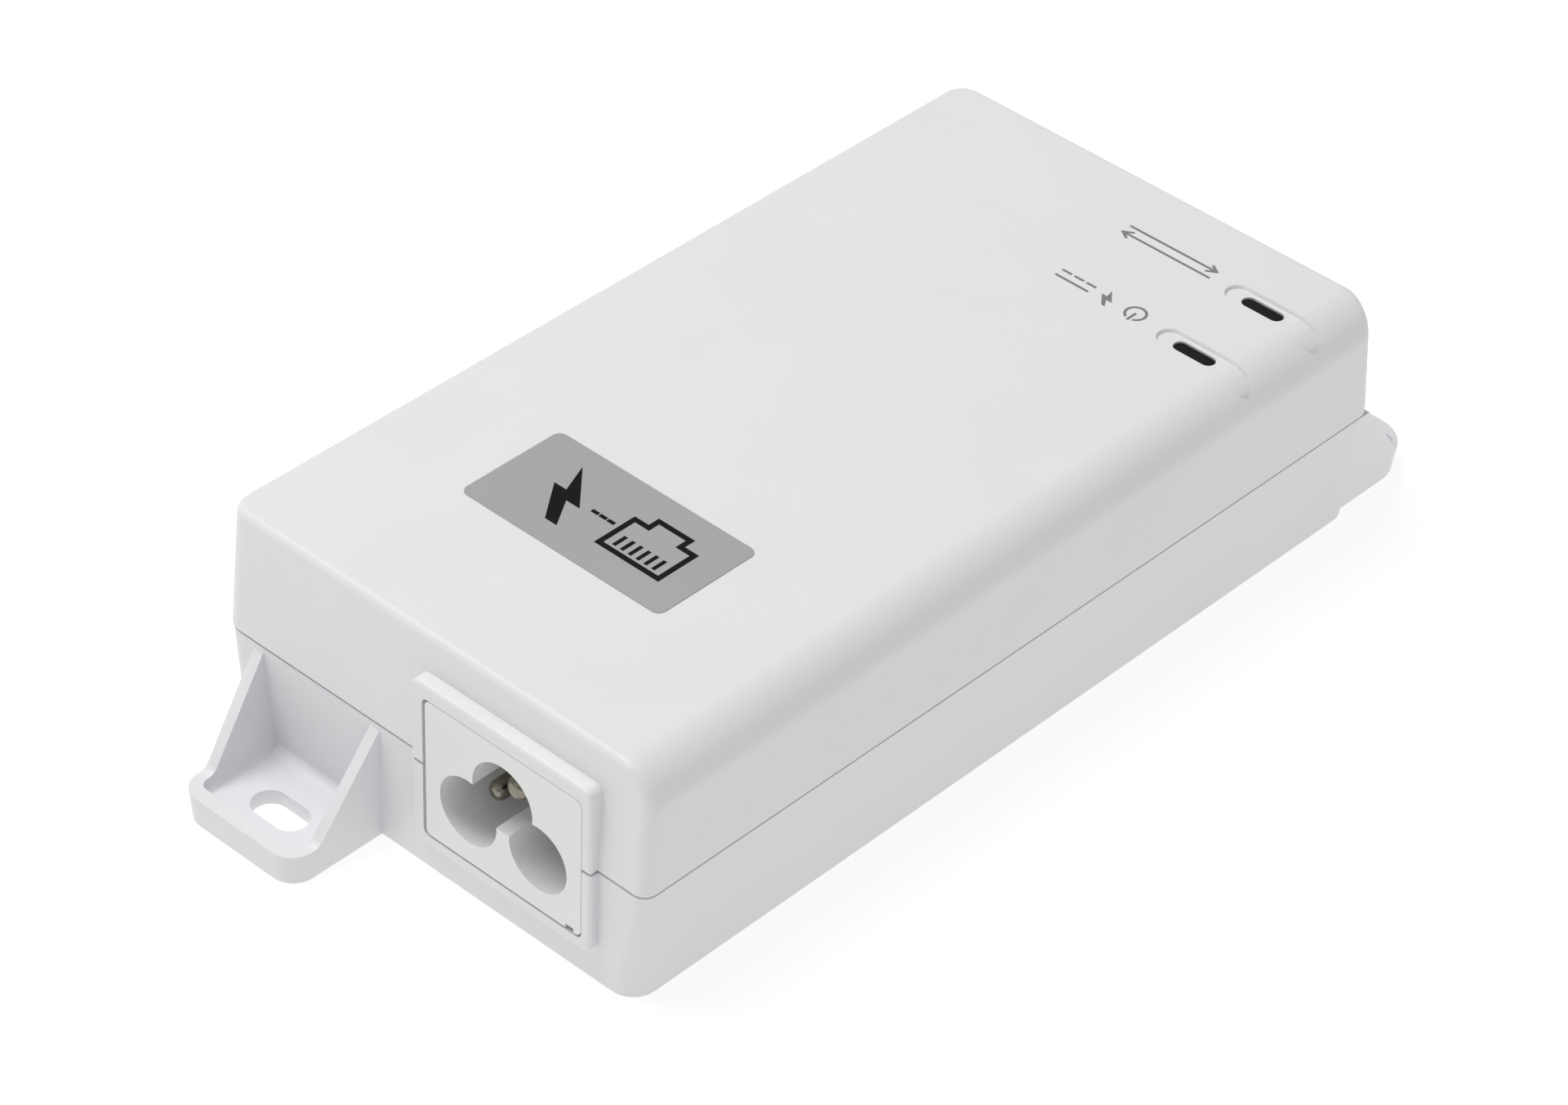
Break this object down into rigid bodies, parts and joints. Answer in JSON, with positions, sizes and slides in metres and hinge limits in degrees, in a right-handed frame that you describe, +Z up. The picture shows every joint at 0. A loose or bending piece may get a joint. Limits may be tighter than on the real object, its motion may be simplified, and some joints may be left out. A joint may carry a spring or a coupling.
{
  "type": "power over ethernet injector",
  "caption": "Power over ethernet injector: pale two-shell plastic box with a cloverleaf mains inlet, network jacks, indicator windows and slotted wall ears.",
  "frame": {"origin": "middle of the underside, on the surface that the injector lies on", "axes": "+X across towards the side with the indicator windows, +Y along towards the network jacks (the mains inlet is at -Y), +Z up"},
  "size_m": [0.062, 0.141, 0.0301],
  "materials": {
    "case_plastic": "moulded, fine grain",
    "inlet_plastic": "moulded, smooth",
    "pin_nickel": "nickel plated",
    "label_silver": "satin silver film",
    "label_white": "satin film",
    "lens_smoked": "smoked, polished",
    "led_clear": "clear epoxy",
    "board_green": "solder mask",
    "fibre_sheet": "fibre film",
    "screw_steel": "zinc plated",
    "jack_plastic": "moulded",
    "shield_steel": "tin plated",
    "contact_gold": "gold plated",
    "fuse_ceramic": "glazed",
    "clip_tin": "tin plated",
    "coating_blue": "dipped",
    "coating_dark": "dipped",
    "film_yellow": "moulded box",
    "ferrite": "sintered",
    "copper_wire": "enamelled",
    "chip_epoxy": "moulded epoxy",
    "heatsink_aluminium": "bright",
    "sleeve_black": "shrunk sleeve",
    "bobbin_plastic": "moulded",
    "tape_yellow": "polyester tape"
  },
  "bodies": {
    "root": {"top_cover": "case_plastic", "bottom_case": "case_plastic", "inlet_housing": "inlet_plastic", "line_pin": "pin_nickel", "neutral_pin": "pin_nickel", "earth_pin": "pin_nickel", "name_label": "label_silver", "rating_label": "label_white", "power_light_pipe": "lens_smoked", "active_light_pipe": "lens_smoked", "power_led": "led_clear", "active_led": "led_clear", "main_board": "board_green", "insulating_sheet": "fibre_sheet", "case_screws": "screw_steel", "board_screws": "screw_steel", "heatsink_screws": "screw_steel", "data_in_jack_housing": "jack_plastic", "power_out_jack_housing": "jack_plastic", "data_in_jack_shield": "shield_steel", "power_out_jack_shield": "shield_steel", "data_in_jack_contacts": "contact_gold", "power_out_jack_contacts": "contact_gold", "mains_fuse": "fuse_ceramic", "fuse_clips": "clip_tin", "varistor": "coating_blue", "thermistor": "coating_dark", "x_capacitor": "film_yellow", "choke_core": "ferrite", "choke_windings": "copper_wire", "bridge_rectifier": "chip_epoxy", "bulk_capacitor": "sleeve_black", "transistor_heatsink": "heatsink_aluminium", "diode_heatsink": "heatsink_aluminium", "switching_transistor": "chip_epoxy", "output_diode": "chip_epoxy", "transformer_core": "ferrite", "transformer_bobbin": "bobbin_plastic", "transformer_windings": "tape_yellow", "y_capacitor": "coating_blue", "optocoupler": "chip_epoxy", "pwm_controller": "chip_epoxy", "output_capacitors": "sleeve_black", "output_inductor": "copper_wire", "data_transformer": "chip_epoxy", "power_controller": "chip_epoxy", "sense_resistor": "chip_epoxy"}
  },
  "joints": []
}
